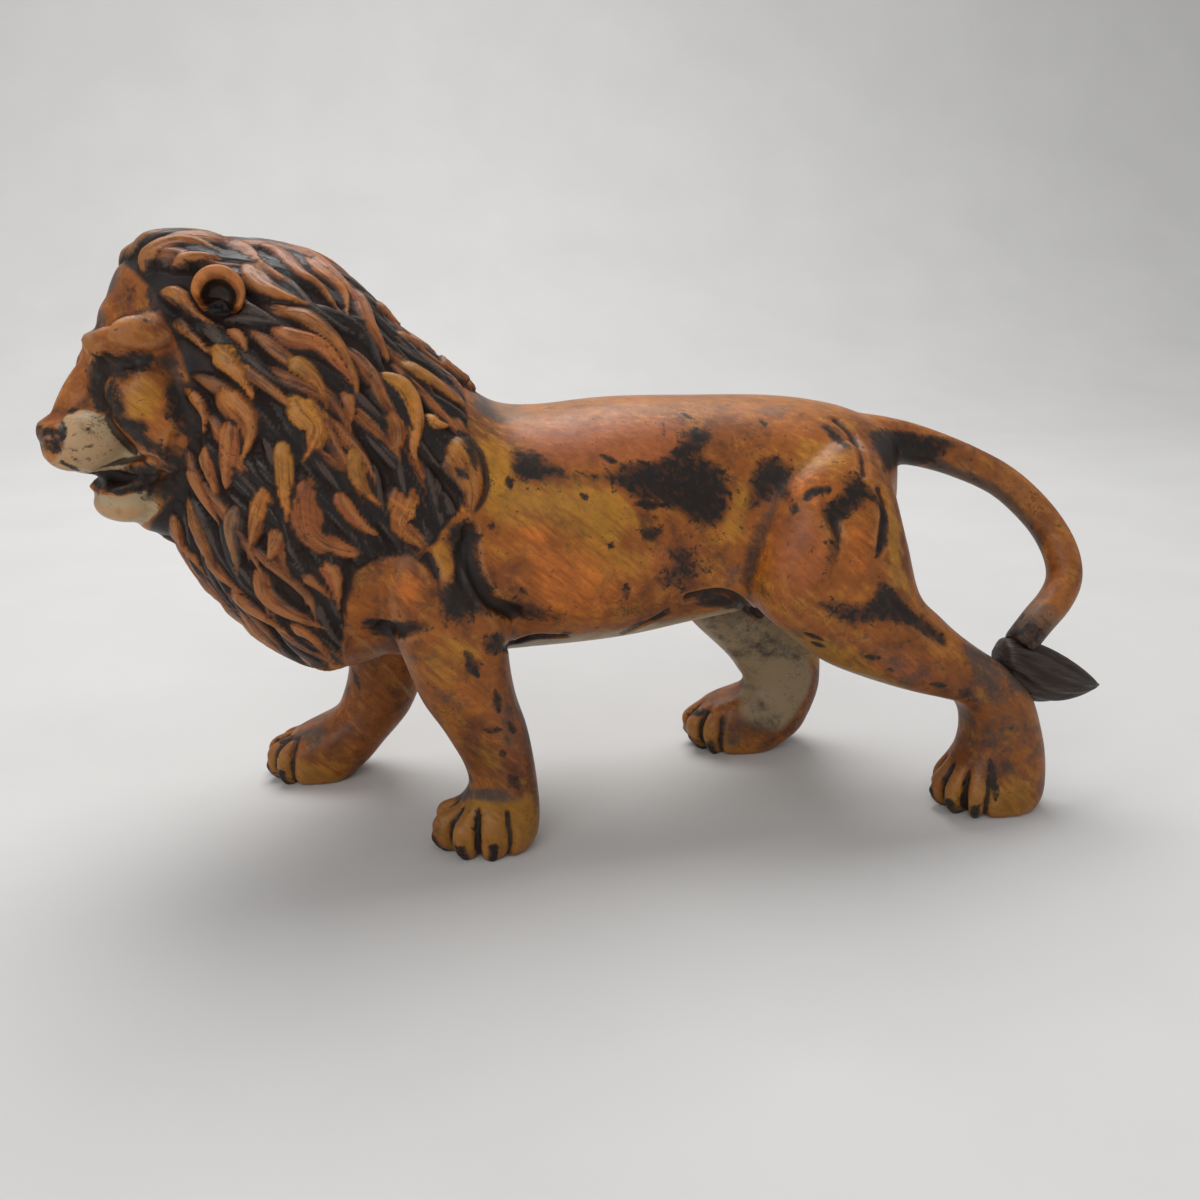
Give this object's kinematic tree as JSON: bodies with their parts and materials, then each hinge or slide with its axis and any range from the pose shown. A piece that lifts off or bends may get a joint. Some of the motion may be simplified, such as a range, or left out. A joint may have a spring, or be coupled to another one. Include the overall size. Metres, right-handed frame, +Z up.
{
  "type": "walking lion figurine",
  "caption": "Walking lion figure in painted cast pottery: hollow body with a bent centre seam, plugged-in legs and tail, a tuft and cupped ears.",
  "frame": {"origin": "on the table under the middle of the figure's bounding box", "axes": "+Z up; the lion walks towards -X along its longest extent, and its left side faces -Y"},
  "size_m": [0.2381, 0.0662, 0.1359],
  "materials": {
    "painted_body": "satin hand painted orange brown over darker antiquing",
    "painted_leg": "satin hand painted ochre",
    "painted_tail": "satin hand painted orange brown",
    "painted_tuft": "satin hand painted dark grey",
    "painted_ear": "satin hand painted orange brown with a dark cup"
  },
  "bodies": {
    "root": {"body_left_shell": "painted_body", "body_right_shell": "painted_body", "foreleg_left": "painted_leg", "foreleg_right": "painted_leg", "hindleg_left": "painted_leg", "hindleg_right": "painted_leg", "tail": "painted_tail", "tail_tuft": "painted_tuft", "ear_left": "painted_ear", "ear_right": "painted_ear"}
  },
  "joints": []
}
